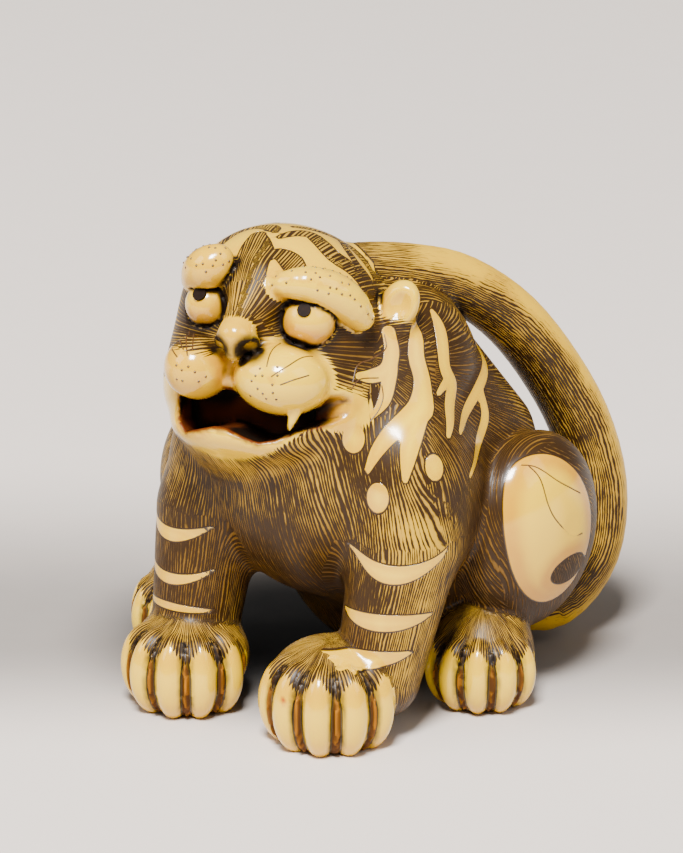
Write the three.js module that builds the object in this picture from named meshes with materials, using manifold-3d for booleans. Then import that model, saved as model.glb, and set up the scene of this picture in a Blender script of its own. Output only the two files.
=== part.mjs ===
// Netsuke: a seated tiger carved from one piece of ivory, its tail swept up over its back.
// Millimetres. +X is the tiger's left, +Y its back, +Z up, and it sits on Z = 0.
import * as THREE from 'three';
import { mergeVertices } from 'three/addons/utils/BufferGeometryUtils.js';
import Module from 'manifold-3d';

const wasm = await Module();
wasm.setup();

// ---- driving dimensions ----
const head = { at: [-2.3, 3.2, 22.3], yaw: 21, pitch: -17, roll: 3.4 };   // turned to its left, raised
const skull = { at: [0, 0.4, 1.9], size: [6.3, 6.6, 5.7] };
const cheeks = [
  { at: [2.4, -1.0, -2.4], size: [4.4, 4.8, 4.3] },
  { at: [-2.2, -1.0, -2.4], size: [4.1, 4.8, 4.2] },
];
const headCentre = [0, 0, -0.4];
const chin = { at: [0, -3.1, -5.0], size: [4.8, 4.0, 1.9] };
const throat = { at: [0, -1.0, -5.4], size: [4.4, 4.2, 2.8] };
const socket = { at: [3.2, -6.2, 1.9], size: [2.2, 1.4, 1.7] };
const bridge = { from: [-0.2, -4.8, 4.2], to: [-0.4, -7.1, 1.2], radii: [1.2, 1.0] };
const pads = [{ at: [2.12, -5.25, -1.5], size: [2.9, 2.8, 2.15] }, { at: [-3.1, -5.3, -1.55], size: [2.0, 2.5, 1.95] }];
const nose = { at: [-0.37, -7.5, 0.7], size: [1.15, 1.15, 1.05] };
const brows = [   // the left one is longer, and droops at its outer end
  { at: [2.98, -5.0, 4.2], size: [2.2, 1.65, 1.15], yaw: 22, roll: 8 },
  { at: [5.0, -3.6, 3.65], size: [1.65, 1.8, 1.25], roll: 30 },
  { at: [-3.35, -5.05, 4.4], size: [1.55, 1.7, 1.5], yaw: -22, roll: -8 },
];
const mouths = [   // the long opening, and the pouch at its left corner
  { at: [-0.1, -4.6, -4.2], size: [4.5, 4.4, 1.1], roll: -2 },
  { at: [4.8, -4.5, -3.0], size: [1.7, 1.9, 0.9], roll: -14 },
];
const ears = [   // the right one is laid further back
  { at: [7.1, 0.1, 3.6], size: [1.3, 1.0, 1.75], yaw: -25, roll: 28, cup: [0.4, -1.25, 0.1] },
  { at: [-5.7, 4.4, 3.6], size: [1.5, 1.05, 1.7], yaw: 35, roll: -20, cup: [-0.4, -1.1, 0.1] },
];
const earCup = [1.0, 0.9, 1.3];

const eyes = [   // both look up, and to the tiger's right
  { name: 'left_pupil', at: [3.03, -4.5, 2.15], radius: 1.6, look: [0.05, -0.92, 0.39] },
  { name: 'right_pupil', at: [-3.3, -4.55, 2.2], radius: 1.35, look: [-0.15, -0.9, 0.41] },
];
const pupil = { radius: 0.42, length: 1.2, proud: 0.1, gap: 0.05 };

const chest = { at: [-0.5, 5.3, 15.4], size: [7.6, 7.0, 8.6] };
const back = { from: [0.3, 9.2, 19.6], to: [0.3, 11.6, 13.6], radii: [6.6, 8.8] };
const rump = { at: [-0.3, 14.6, 7.8], size: [9.2, 8.0, 8.2] };
const shoulder = { back: 2.0, height: 14.0, size: [3.0, 3.9, 5.4] };
const trunkCentre = [0, 9, 12.5];
const foreleg = { top: 11.5, wrist: 3.6, reach: 1.6, radii: [3.3, 2.6] };
const forelegs = [{ x: 6.9, y: 3.4 }, { x: -6.5, y: 1.2 }];
const thighs = [
  { at: [8.6, 14.0, 10.0], size: [3.6, 5.6, 6.6], pitch: 14, roll: 8 },
  { at: [-11.2, 10.2, 10.4], size: [4.2, 5.6, 6.0], pitch: 14, roll: -4 },
];
const paws = [
  { at: [5.05, -1.25, 2.85], yaw: 26, scale: 1.06 },
  { at: [-5.45, -2.1, 2.75], yaw: 20, scale: 1.0 },
  { at: [8.7, 9.3, 2.5], yaw: 30, scale: 0.87 },
  { at: [-11.7, 5.1, 2.5], yaw: 4, scale: 0.87 },
];
const pawDome = { at: [0, 1.0, 0.3], size: [3.7, 3.6, 2.95] };
const hock = { at: [0, 1.6, 1.4], size: [3.4, 3.3, 2.9] };   // on the hind feet only
const toe = { count: 5, fan: 36, ring: 2.2, centre: 0.6, drop: -0.2, size: [1.25, 1.9, 2.75] };

const tailRoute = [   // from under the left haunch, up behind the back, to the crown
  [4.0, 19.0, 2.6, 1.6], [5.6, 21.0, 2.8, 2.0], [6.5, 23.4, 5.3, 2.1], [6.3, 24.5, 9.2, 2.1],
  [5.4, 24.1, 13.5, 2.0], [4.3, 22.1, 17.7, 1.95], [3.2, 19.3, 21.4, 1.9], [2.1, 15.7, 24.2, 1.8],
  [1.3, 12.0, 25.8, 1.6], [0.2, 9.0, 26.7, 1.35], [-1.2, 6.8, 27.2, 0.9],
];
const tailSteps = 28;

// ---- solids ----
const degrees = THREE.MathUtils.degToRad;

function placed([x, y, z], { yaw = 0, pitch = 0, roll = 0 } = {}, size = [1, 1, 1]) {
  const turn = new THREE.Quaternion().setFromEuler(
    new THREE.Euler(degrees(pitch), degrees(roll), degrees(yaw), 'ZXY'));
  return new THREE.Matrix4().compose(new THREE.Vector3(x, y, z), turn, new THREE.Vector3(...size));
}

function turnedTo(direction) {
  return new THREE.Quaternion().setFromUnitVectors(new THREE.Vector3(0, 1, 0), direction.clone().normalize());
}

const headPlace = placed(head.at, head);

function solid(geometry, place = new THREE.Matrix4()) {
  const shape = geometry.clone().applyMatrix4(place);
  shape.deleteAttribute('normal');
  shape.deleteAttribute('uv');
  const merged = mergeVertices(shape, 1e-4);
  const corners = [];
  for (let i = 0; i < merged.index.count; i += 3) {
    const [a, b, c] = [0, 1, 2].map((k) => merged.index.getX(i + k));
    if (a !== b && b !== c && c !== a) corners.push(a, b, c);
  }
  return new wasm.Manifold(new wasm.Mesh({
    numProp: 3,
    vertProperties: merged.attributes.position.array,
    triVerts: new Uint32Array(corners),
  }));
}

function egg({ at, size, yaw, pitch, roll }, place = new THREE.Matrix4(), around = 14, rows = 9) {
  const own = placed(at, { yaw, pitch, roll }, size);
  return solid(new THREE.SphereGeometry(1, around, rows), place.clone().multiply(own));
}

// ---- rounded masses that flow into each other ----
// Each form gives the distance from a point to its skin, less than 0 inside.
const roundForm = ({ at, size }) => (p) => {
  const q = [0, 1, 2].map((k) => (p[k] - at[k]) / size[k]);
  const near = Math.hypot(...q);
  const slope = Math.hypot(...q.map((value, k) => value / size[k]));
  return near * (near - 1) / Math.max(slope, 1e-9);
};

const limbForm = ({ from, to, radii }) => (p) => {
  const along = from.map((value, k) => to[k] - value);
  const reach = p.map((value, k) => value - from[k]);
  const dot = (a, b) => a[0] * b[0] + a[1] * b[1] + a[2] * b[2];
  const t = THREE.MathUtils.clamp(dot(reach, along) / dot(along, along), 0, 1);
  const radius = THREE.MathUtils.lerp(radii[0], radii[1], t);
  return Math.hypot(...reach.map((value, k) => value - along[k] * t)) - radius;
};

const blended = (a, b, k) => (p) => {
  const [da, db] = [a(p), b(p)];
  const overlap = Math.max(k - Math.abs(da - db), 0) / k;
  return Math.min(da, db) - overlap * overlap * k / 4;
};

const hollowed = (a, b, k) => (p) => {
  const [da, db] = [a(p), b(p)];
  const overlap = Math.max(k - Math.abs(da + db), 0) / k;
  return Math.max(da, -db) + overlap * overlap * k / 4;
};

const bothSides = (form) => (p) => form([Math.abs(p[0]), p[1], p[2]]);

// Clay pressed into a mould: each point of a plain shape moves to and fro on the line from the core
// through it until it lies on the form. The core is a centre, or the nearest point of an axis.
function moulded(form, shape, [coreFrom, coreTo], place) {
  const core = new THREE.Line3(new THREE.Vector3(...coreFrom), new THREE.Vector3(...(coreTo ?? coreFrom)));
  const points = shape.attributes.position;
  const centre = new THREE.Vector3();
  const ray = new THREE.Vector3();
  const spot = (distance) => centre.clone().addScaledVector(ray, distance).toArray();
  for (let i = 0; i < points.count; i++) {
    ray.fromBufferAttribute(points, i);
    if (coreTo) core.closestPointToPoint(ray, true, centre);
    else centre.copy(core.start);
    ray.sub(centre).normalize();
    let outer = coreTo ? 5 : 24;
    while (outer > 0.5 && form(spot(outer)) > 0) outer -= 0.25;
    let inner = outer;
    outer += 0.25;
    for (let step = 0; step < 14; step++) {
      const middle = (inner + outer) / 2;
      if (form(spot(middle)) > 0) outer = middle;
      else inner = middle;
    }
    points.setXYZ(i, ...spot(outer));
  }
  return solid(shape, place);
}

const ballAt = (centre, around, rows) => new THREE.SphereGeometry(1, around, rows).translate(...centre);

// ---- trunk: chest, back, rump and shoulders in one mass ----
const shoulderMass = (x, y) => ({ at: [x, y + shoulder.back, shoulder.height], size: shoulder.size });
let trunk = blended(roundForm(chest), limbForm(back), 3);
trunk = blended(trunk, roundForm(rump), 2.5);
for (const { x, y } of forelegs) trunk = blended(trunk, roundForm(shoulderMass(x, y)), 2.5);
const pieces = [moulded(trunk, ballAt(trunkCentre, 28, 18), [trunkCentre])];

// ---- forelegs: each runs from its shoulder into its paw ----
forelegs.forEach(({ x, y }, i) => {
  const top = [x, y + 0.6, foreleg.top];
  const wrist = [x * 0.94, y - foreleg.reach, foreleg.wrist];
  const paw = { ...pawDome, at: pawDome.at.map((value, k) => value + paws[i].at[k]) };
  const bone = limbForm({ from: top, to: wrist, radii: foreleg.radii });
  const form = blended(blended(bone, roundForm(shoulderMass(x, y)), 2.5), roundForm(paw), 1.2);
  const along = new THREE.Vector3(...top).sub(new THREE.Vector3(...wrist));
  const shape = new THREE.CapsuleGeometry(0.3, along.length(), 3, 12, 6);
  const middle = new THREE.Vector3(...wrist).addScaledVector(along, 0.5);
  shape.applyQuaternion(turnedTo(along));
  shape.translate(...middle.toArray());
  pieces.push(moulded(form, shape, [wrist, top]));
});
for (const thigh of thighs) pieces.push(egg(thigh, undefined, 16, 10));

paws.forEach((paw, n) => {
  const place = placed(paw.at, paw, Array(3).fill(paw.scale));
  pieces.push(egg(pawDome, place, 12, 8));
  if (n > 1) pieces.push(egg(hock, place, 12, 8));
  for (let i = 0; i < toe.count; i++) {   // the toes fan out round the front
    const turn = (i - (toe.count - 1) / 2) * toe.fan;
    const angle = degrees(turn);
    const at = [toe.ring * Math.sin(angle), toe.centre - toe.ring * Math.cos(angle), toe.drop];
    pieces.push(egg({ at, size: toe.size, yaw: turn }, place, 8, 6));
  }
});

// ---- head ----
let cranium = roundForm(skull);
for (const cheek of cheeks) cranium = blended(cranium, roundForm(cheek), 2);
cranium = blended(cranium, roundForm(throat), 1.5);
cranium = hollowed(cranium, bothSides(roundForm(socket)), 0.8);
cranium = blended(cranium, limbForm(bridge), 1.4);
const face = [moulded(cranium, ballAt(headCentre, 24, 17), [headCentre], headPlace)];
face.push(egg(chin, headPlace, 14, 8), egg(nose, headPlace, 10, 7));
for (const pad of pads) face.push(egg(pad, headPlace));
for (const { at, radius } of eyes) face.push(egg({ at, size: Array(3).fill(radius) }, headPlace, 10, 8));
for (const brow of brows) face.push(egg(brow, headPlace));
for (const ear of ears) {
  const cup = { ...ear, at: ear.at.map((value, k) => value + ear.cup[k]), size: earCup };
  face.push(egg(ear, headPlace, 12, 8).subtract(egg(cup, headPlace, 10, 6)));
}
const [opening, pouch] = mouths.map((cut) => egg(cut, headPlace, 16, 8));

// ---- tail: a cylinder bent along its route, thick at the haunch and thin at the crown ----
const route = new THREE.CatmullRomCurve3(tailRoute.map(([x, y, z]) => new THREE.Vector3(x, y, z)));
const frames = route.computeFrenetFrames(tailSteps);
const tailShape = new THREE.CylinderGeometry(1, 1, 1, 10, tailSteps);
const tailPoints = tailShape.attributes.position;
for (let i = 0; i < tailPoints.count; i++) {
  const t = tailPoints.getY(i) + 0.5;
  const ring = Math.round(t * tailSteps);
  const leg = Math.min(Math.floor(route.getUtoTmapping(t) * (tailRoute.length - 1)), tailRoute.length - 2);
  const part = route.getUtoTmapping(t) * (tailRoute.length - 1) - leg;
  const radius = THREE.MathUtils.lerp(tailRoute[leg][3], tailRoute[leg + 1][3], part);
  const spot = route.getPointAt(t);
  spot.addScaledVector(frames.normals[ring], radius * tailPoints.getX(i));
  spot.addScaledVector(frames.binormals[ring], -radius * tailPoints.getZ(i));
  tailPoints.setXYZ(i, spot.x, spot.y, spot.z);
}
const [tipX, tipY, tipZ, tipRadius] = tailRoute.at(-1);
pieces.push(solid(tailShape));
pieces.push(egg({ at: [tipX, tipY, tipZ], size: Array(3).fill(tipRadius) }, undefined, 12, 8));

// ---- join, open the mouth, drill the eyes and cut the base flat ----
let carving = face.reduce((whole, piece) => whole.add(piece)).subtract(opening.add(pouch));
for (const piece of pieces) carving = carving.add(piece);

const drillRadius = pupil.radius + pupil.gap;
const drill = new THREE.CylinderGeometry(drillRadius, drillRadius, pupil.length + 2 * pupil.gap, 16);
const pupils = eyes.map(({ name, at, radius, look }) => {
  const along = new THREE.Vector3(...look).normalize();
  const spot = new THREE.Vector3(...at).addScaledVector(along, radius + pupil.proud - pupil.length / 2);
  const pin = new THREE.Matrix4().compose(spot, turnedTo(along), new THREE.Vector3(1, 1, 1));
  const place = headPlace.clone().multiply(pin);
  carving = carving.subtract(solid(drill, place));
  return { name, place };
});

const ground = new THREE.BoxGeometry(80, 80, 60);
carving = carving.intersect(solid(ground, placed([0, 10, 30])));

function drawn(name, geometry, material) {
  const mesh = new THREE.Mesh(geometry, material);
  mesh.name = name;
  return mesh;
}

const ivory = new THREE.MeshStandardMaterial({ color: 0xd9bd86, roughness: 0.34, metalness: 0 });
const horn = new THREE.MeshStandardMaterial({ color: 0x140d09, roughness: 0.12, metalness: 0 });

const { vertProperties, triVerts } = carving.getMesh();
const body = new THREE.BufferGeometry();
body.setAttribute('position', new THREE.BufferAttribute(vertProperties, 3));
body.setIndex(new THREE.BufferAttribute(triVerts, 1));
body.computeVertexNormals();

const netsuke = new THREE.Group();
netsuke.add(drawn('tiger', body, ivory));
for (const { name, place } of pupils) {
  const pin = drawn(name, new THREE.CylinderGeometry(pupil.radius, pupil.radius, pupil.length, 16), horn);
  pin.applyMatrix4(place);
  netsuke.add(pin);
}

// The origin is under the middle of the whole piece.
const box = new THREE.Box3().setFromObject(netsuke);
const middle = box.getCenter(new THREE.Vector3());
netsuke.position.set(-middle.x, -middle.y, -box.min.z);

export default netsuke;
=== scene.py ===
import math
import bpy
import numpy as np
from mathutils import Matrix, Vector


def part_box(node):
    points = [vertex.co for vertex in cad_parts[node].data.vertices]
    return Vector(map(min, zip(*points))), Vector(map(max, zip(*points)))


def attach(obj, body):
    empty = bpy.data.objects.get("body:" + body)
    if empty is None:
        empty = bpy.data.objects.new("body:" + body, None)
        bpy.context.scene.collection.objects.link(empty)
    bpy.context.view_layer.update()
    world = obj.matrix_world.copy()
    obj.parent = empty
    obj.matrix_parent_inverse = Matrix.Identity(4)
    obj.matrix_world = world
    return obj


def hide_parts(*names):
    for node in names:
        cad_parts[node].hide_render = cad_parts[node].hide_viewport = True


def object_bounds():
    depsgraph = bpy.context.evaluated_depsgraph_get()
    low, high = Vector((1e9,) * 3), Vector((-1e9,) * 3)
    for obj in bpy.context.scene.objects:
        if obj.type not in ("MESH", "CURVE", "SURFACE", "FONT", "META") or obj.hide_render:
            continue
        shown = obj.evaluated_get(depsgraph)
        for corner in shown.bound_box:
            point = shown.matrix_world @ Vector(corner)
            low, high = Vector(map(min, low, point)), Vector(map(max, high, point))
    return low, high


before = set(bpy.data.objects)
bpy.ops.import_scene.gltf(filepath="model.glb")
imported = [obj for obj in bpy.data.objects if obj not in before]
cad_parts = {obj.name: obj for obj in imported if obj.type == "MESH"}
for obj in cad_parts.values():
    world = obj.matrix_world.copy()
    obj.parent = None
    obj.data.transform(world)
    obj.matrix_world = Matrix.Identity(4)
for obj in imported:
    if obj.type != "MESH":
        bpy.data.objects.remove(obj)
cadBox = [list(corner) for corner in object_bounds()]
print("frame loaded")

# The carving is worked out in millimetres: +X the tiger's left, +Y its back, +Z up.
# Angles are yaw, pitch and roll in degrees, and head parts are given in the head's own axes.
headPlace = {"at": (-2.3, 3.2, 22.3), "turn": (21, -17, 3.4)}

trunkForm = {
    "chest": ((-0.5, 5.3, 15.4), (7.6, 7.0, 8.6)),
    "back": ((0.3, 9.2, 19.6), (0.3, 11.6, 13.6), 6.6, 8.8),
    "rump": ((-0.3, 14.6, 7.8), (9.2, 8.0, 8.2)),
    "shoulder": {"back": 2.0, "height": 14.0, "size": (3.0, 3.9, 5.4)},
    "forelegs": ((6.9, 3.4), (-6.5, 1.2)),
    "bone": {"top": 11.5, "wrist": 3.6, "setBack": 0.6, "reach": 1.6, "closing": 0.06, "radii": (3.3, 2.6)},
    "thighs": (
        ((8.6, 14.0, 10.0), (3.6, 5.6, 6.6), (0, 14, 8)),
        ((-11.2, 10.2, 10.4), (4.2, 5.6, 6.0), (0, 14, -4)),
    ),
}

pawForm = {
    "places": (((5.05, -1.25, 2.85), 26, 1.06), ((-5.45, -2.1, 2.75), 20, 1.0),
               ((8.7, 9.3, 2.5), 30, 0.87), ((-11.7, 5.1, 2.5), 4, 0.87)),
    "dome": ((0, 1.0, 0.3), (3.7, 3.6, 2.95)), "hock": ((0, 1.6, 1.4), (3.4, 3.3, 2.9)),
    "hindSize": 0.9,   # a paw under this size is a hind one, and has a hock
    "toes": 5, "fan": 36, "ring": 2.2, "centre": 0.6, "drop": -0.2, "toe": (1.2, 1.9, 2.75),
    "web": (0.32, 1.75, 2.6),   # the narrow ridge in each gap between toes
}

faceForm = {
    "skull": ((0, 0.4, 1.9), (6.3, 6.6, 5.7)),
    "cheeks": (((2.4, -1.0, -2.4), (4.4, 4.8, 4.3)), ((-2.2, -1.0, -2.4), (4.1, 4.8, 4.2))),
    "chin": ((0, -3.1, -5.0), (4.8, 4.0, 1.9)),
    "throat": ((0, -1.0, -5.4), (4.4, 4.2, 2.8)),
    "socket": ((3.2, -6.2, 1.9), (2.2, 1.4, 1.7)),
    "bridge": ((-0.2, -4.8, 4.2), (-0.4, -7.1, 1.2), 1.2, 1.0),
    "pads": (((2.12, -5.25, -1.5), (2.9, 2.8, 2.15)), ((-3.1, -5.3, -1.55), (2.0, 2.5, 1.95))),
    "nose": ((-0.37, -7.5, 0.75), (1.1, 1.15, 1.0)), "septum": ((-0.35, -7.5, -0.15), (0.6, 0.75, 0.6)),
    "wings": (((-1.15, -7.2, 0.3), (0.55, 0.75, 0.5)), ((0.5, -7.35, 0.45), (0.6, 0.8, 0.5))),
    "nostrils": (((0.75, -8.05, 0.1), (0.6, 0.75, 0.36), (0, 0, -35)),
                 ((-1.25, -8.0, -0.12), (0.45, 0.75, 0.4), (0, 0, 35))),
    # each brow swells along its length: across, forward, up and half thickness
    "brows": (((0.9, -5.6, 3.75, 0.6), (1.9, -5.9, 4.15, 0.85), (3.1, -5.55, 4.3, 1.1),
               (4.3, -4.6, 4.0, 1.25), (5.2, -3.7, 3.4, 1.15), (5.75, -3.0, 2.75, 0.85)),
              ((-2.75, -5.6, 4.9, 1.0), (-3.2, -5.5, 4.45, 1.3), (-3.75, -5.0, 4.1, 1.25),
               (-4.2, -4.4, 3.6, 1.0))),
    "eyes": (((3.03, -4.5, 2.15), 1.6), ((-3.3, -4.55, 2.2), 1.35)), "eyeGroove": 0.06,
    # the opening, seen from the front: across and up, from the right corner under the pads to the left one
    "mouth": ((-4.1, -3.3), (-3.0, -2.6), (3.4, -2.6), (4.2, -2.7), (4.8, -2.3), (5.4, -2.1), (6.0, -2.1),
              (6.3, -2.6), (6.0, -3.2), (5.2, -3.7), (4.0, -4.1), (3.4, -4.4), (2.6, -5.0), (1.6, -5.35),
              (0.8, -5.15), (-0.3, -4.8), (-1.2, -4.8), (-2.0, -5.05), (-3.2, -5.45), (-3.7, -4.8)),
    "mouthBack": -2.6, "pouchBack": -3.4, "pouchFrom": 4.0,
    "mouthLimit": -1.5,   # the opening is looked for only in front of this
    "fang": ((3.45, -6.1, -3.2), (3.3, -6.2, -4.35), 0.42, 0.12),
    "ears": (
        ((7.1, 0.1, 3.6), (1.3, 1.0, 1.75), (-25, 0, 28), (0.4, -1.25, 0.1)),
        ((-5.7, 4.4, 3.6), (1.5, 1.05, 1.7), (35, 0, -20), (-0.4, -1.1, 0.1)),
    ),
    "earCup": (0.85, 0.75, 1.15),
    "leftGaze": (0.05, -0.92, 0.39), "pupil": {"length": 1.2, "proud": 0.1},
}

tailForm = [   # x, y, z and radius, from under the left haunch to the crown
    (4.0, 19.0, 2.6, 1.6), (5.6, 21.0, 2.8, 2.0), (6.5, 23.4, 5.3, 2.1), (6.3, 24.5, 9.2, 2.1),
    (5.4, 24.1, 13.5, 2.0), (4.3, 22.1, 17.7, 1.95), (3.2, 19.3, 21.4, 1.9), (2.1, 15.7, 24.2, 1.8),
    (1.3, 12.0, 25.8, 1.6), (0.2, 9.0, 26.7, 1.35), (-1.2, 6.8, 27.2, 0.9),
]

# how softly each form runs into what it stands on, in millimetres
joins = {
    "back": 3, "rump": 2.5, "shoulder": 2.5, "foreleg": 1.2, "thigh": 0.5, "paw": 0.5, "hock": 0.5,
    "toe": 0.15, "web": 0.08, "cheek": 2.0, "throat": 1.5, "chin": 0.8, "socket": 0.8, "bridge": 1.2,
    "mouth": 0.4, "trunkMouth": 0.3, "pad": 0.3, "nose": 0.3, "wing": 0.35, "brow": 0.25, "eye": 0.2,
    "fang": 0.2, "nostril": 0.2, "earCup": 0.3, "ear": 0.25, "head": 1.0, "tail": 0.4,
}

# grid step and margins, how near the skin the grid is fine, and the two reaches of the hollows
sculptValues = {"step": 0.245, "below": 4.5, "above": 4, "band": 2.0, "lift": 0.55, "wide": 1.7,
                "tailSteps": 40, "browSteps": 12}
farAway = 9.0   # stands for "not near here", in millimetres


# Rounded forms: each gives the distance from points to its skin, less than 0 inside.
def turned(angles):
    yaw, pitch, roll = np.radians(angles)
    aboutZ = np.array([[np.cos(yaw), -np.sin(yaw), 0], [np.sin(yaw), np.cos(yaw), 0], [0, 0, 1]])
    aboutX = np.array([[1, 0, 0], [0, np.cos(pitch), -np.sin(pitch)], [0, np.sin(pitch), np.cos(pitch)]])
    aboutY = np.array([[np.cos(roll), 0, np.sin(roll)], [0, 1, 0], [-np.sin(roll), 0, np.cos(roll)]])
    return aboutZ @ aboutX @ aboutY


def egg(points, at, size, angles=None):
    local = points - np.array(at, float)
    if angles is not None:
        local = local @ turned(angles)
    size = np.array(size, float)
    near = np.linalg.norm(local / size, axis=-1)
    slope = np.linalg.norm(local / size ** 2, axis=-1)
    return near * (near - 1) / np.maximum(slope, 1e-9)


def limb(points, start, end, startRadius, endRadius):
    start, along = np.array(start, float), np.subtract(end, start).astype(float)
    part = np.clip((points - start) @ along / (along @ along), 0, 1)
    radius = startRadius + (endRadius - startRadius) * part
    return np.linalg.norm(points - start - part[:, None] * along, axis=-1) - radius


def blended(a, b, width):
    overlap = np.maximum(width - np.abs(a - b), 0) / width
    return np.minimum(a, b) - overlap * overlap * width / 4


def hollowed(a, b, width):
    overlap = np.maximum(width - np.abs(a + b), 0) / width
    return np.maximum(a, -b) + overlap * overlap * width / 4


def smoothCurve(route, steps):
    route = np.array(route, float)
    route = np.vstack([2 * route[0] - route[1], route, 2 * route[-1] - route[-2]])
    spots = []
    for place in np.linspace(0, len(route) - 3, steps):
        i = min(int(place), len(route) - 4)
        t = place - i
        a, b, c, d = route[i:i + 4]
        bend = (2 * a - 5 * b + 4 * c - d) * t ** 2
        spots.append(0.5 * (2 * b + (c - a) * t + bend + (3 * b - a - 3 * c + d) * t ** 3))
    return np.array(spots)


def smoothStep(low, high, value):
    t = np.clip((value - low) / (high - low), 0, 1)
    return t * t * (3 - 2 * t)


headTurn = turned(headPlace["turn"])
tailRoute = smoothCurve(tailForm, sculptValues["tailSteps"])
browCurves = [smoothCurve(brow, sculptValues["browSteps"]) for brow in faceForm["brows"]]


def inHead(points):
    return (points - np.array(headPlace["at"])) @ headTurn


def fromHead(points):
    return np.array(points, float) @ headTurn.T + np.array(headPlace["at"])


def mouthOpening(p):
    x, z = p[:, 0], p[:, 2]
    corners = np.array(faceForm["mouth"])
    away, inside = np.full(len(p), 1e9), np.zeros(len(p), bool)
    for (ax, az), (bx, bz) in zip(corners, np.roll(corners, -1, 0)):
        ex, ez = bx - ax, bz - az
        t = np.clip(((x - ax) * ex + (z - az) * ez) / (ex * ex + ez * ez), 0, 1)
        away = np.minimum(away, np.hypot(x - ax - t * ex, z - az - t * ez))
        crossed = ((az > z) != (bz > z)) & (x < ax + (z - az) * ex / (ez if abs(ez) > 1e-9 else 1e-9))
        inside ^= crossed
    outline = np.where(inside, -away, away)
    back = np.where(x > faceForm["pouchFrom"], faceForm["pouchBack"], faceForm["mouthBack"])
    return np.maximum(outline, p[:, 1] - back)


def headForm(points):
    p = inHead(points)
    both = p.copy()
    both[:, 0] = np.abs(p[:, 0])
    face = faceForm
    d = egg(p, *face["skull"])
    for cheek in face["cheeks"]:
        d = blended(d, egg(p, *cheek), joins["cheek"])
    d = blended(d, egg(p, *face["throat"]), joins["throat"])
    d = blended(d, egg(p, *face["chin"]), joins["chin"])
    d = hollowed(d, egg(both, *face["socket"]), joins["socket"])
    d = blended(d, limb(p, *face["bridge"]), joins["bridge"])
    close = p[:, 1] < face["mouthLimit"]
    d[close] = hollowed(d[close], mouthOpening(p[close]), joins["mouth"])
    for pad in face["pads"]:
        d = blended(d, egg(p, *pad), joins["pad"])
    d = blended(d, egg(p, *face["nose"]), joins["nose"])
    for part in (*face["wings"], face["septum"]):
        d = blended(d, egg(p, *part), joins["wing"])
    for curve in browCurves:
        d = blended(d, chain(p, curve[:, :3], curve[:, 3]), joins["brow"])
    for centre, radius in face["eyes"]:
        ball = np.linalg.norm(p - np.array(centre), axis=-1) - radius
        d = hollowed(d, ball - face["eyeGroove"], joins["eye"])
        d = np.minimum(d, ball)
    d = blended(d, limb(p, *face["fang"]), joins["fang"])
    for nostril in face["nostrils"]:
        d = hollowed(d, egg(p, *nostril), joins["nostril"])
    for at, size, angles, cup in face["ears"]:
        hollow = egg(p, np.add(at, cup), face["earCup"], angles)
        shell = hollowed(egg(p, at, size, angles), hollow, joins["earCup"])
        d = blended(d, shell, joins["ear"])
    return d


def pawsForm(points):
    d = None
    for at, yaw, size in pawForm["places"]:
        p = (points - np.array(at)) @ turned((yaw, 0, 0)) / size
        paw = egg(p, *pawForm["dome"])
        if size < pawForm["hindSize"]:
            paw = blended(paw, egg(p, *pawForm["hock"]), joins["hock"])
        gaps = pawForm["toes"] - 1
        for i in range(2 * gaps + 1):
            fan = (i - gaps) * pawForm["fan"] / 2
            out = np.radians(fan)
            ring, kind = pawForm["ring"], "web" if i % 2 else "toe"
            spot = (ring * np.sin(out), pawForm["centre"] - ring * np.cos(out), pawForm["drop"])
            paw = blended(paw, egg(p, spot, pawForm[kind], (fan, 0, 0)), joins[kind])
        d = paw * size if d is None else np.minimum(d, paw * size)
    return d


def legAxis(leg, height):
    x, y = trunkForm["forelegs"][leg]
    bone = trunkForm["bone"]
    part = np.clip((bone["top"] - height) / (bone["top"] - bone["wrist"]), 0, 1)
    return x * (1 - bone["closing"] * part), y + bone["setBack"] - (bone["setBack"] + bone["reach"]) * part


def trunkMass(points):
    trunk, bone = trunkForm, trunkForm["bone"]
    d = blended(egg(points, *trunk["chest"]), limb(points, *trunk["back"]), joins["back"])
    d = blended(d, egg(points, *trunk["rump"]), joins["rump"])
    for x, y in trunk["forelegs"]:
        shoulder = trunk["shoulder"]
        at = (x, y + shoulder["back"], shoulder["height"])
        d = blended(d, egg(points, at, shoulder["size"]), joins["shoulder"])
    for x, y in trunk["forelegs"]:
        top = (x, y + bone["setBack"], bone["top"])
        wrist = (x * (1 - bone["closing"]), y - bone["reach"], bone["wrist"])
        d = blended(d, limb(points, top, wrist, *bone["radii"]), joins["foreleg"])
    return d


def thighsForm(points):
    left, right = (egg(points, *thigh) for thigh in trunkForm["thighs"])
    return np.minimum(left, right)


def chain(points, spots, radii):
    d = np.full(len(points), 1e3)
    for i in range(len(spots) - 1):
        d = np.minimum(d, limb(points, spots[i], spots[i + 1], radii[i], radii[i + 1]))
    return d


def tailMass(points):
    return chain(points, tailRoute[:, :3], tailRoute[:, 3])


def tigerForm(points):
    d = blended(trunkMass(points), thighsForm(points), joins["thigh"])
    d = blended(d, pawsForm(points), joins["paw"])
    inFace = inHead(points)
    close = inFace[:, 1] < faceForm["mouthLimit"]
    d[close] = hollowed(d[close], mouthOpening(inFace[close]), joins["trunkMouth"])
    d = blended(d, headForm(points), joins["head"])
    d = blended(d, tailMass(points), joins["tail"])
    return np.maximum(d, -points[:, 2])


def slopeOf(form, points, reach=0.03):
    rises = [form(points + offset) - form(points - offset) for offset in np.eye(3) * reach]
    return np.stack(rises, -1) / (2 * reach)


def onto(form, points, rounds=2, longest=0.2, leastSteep=0.2):
    for _ in range(rounds):
        slope = slopeOf(form, points)
        steep = np.maximum((slope ** 2).sum(-1), leastSteep)
        points = points - slope * (np.clip(form(points), -longest, longest) / steep)[:, None]
    return points


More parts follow.
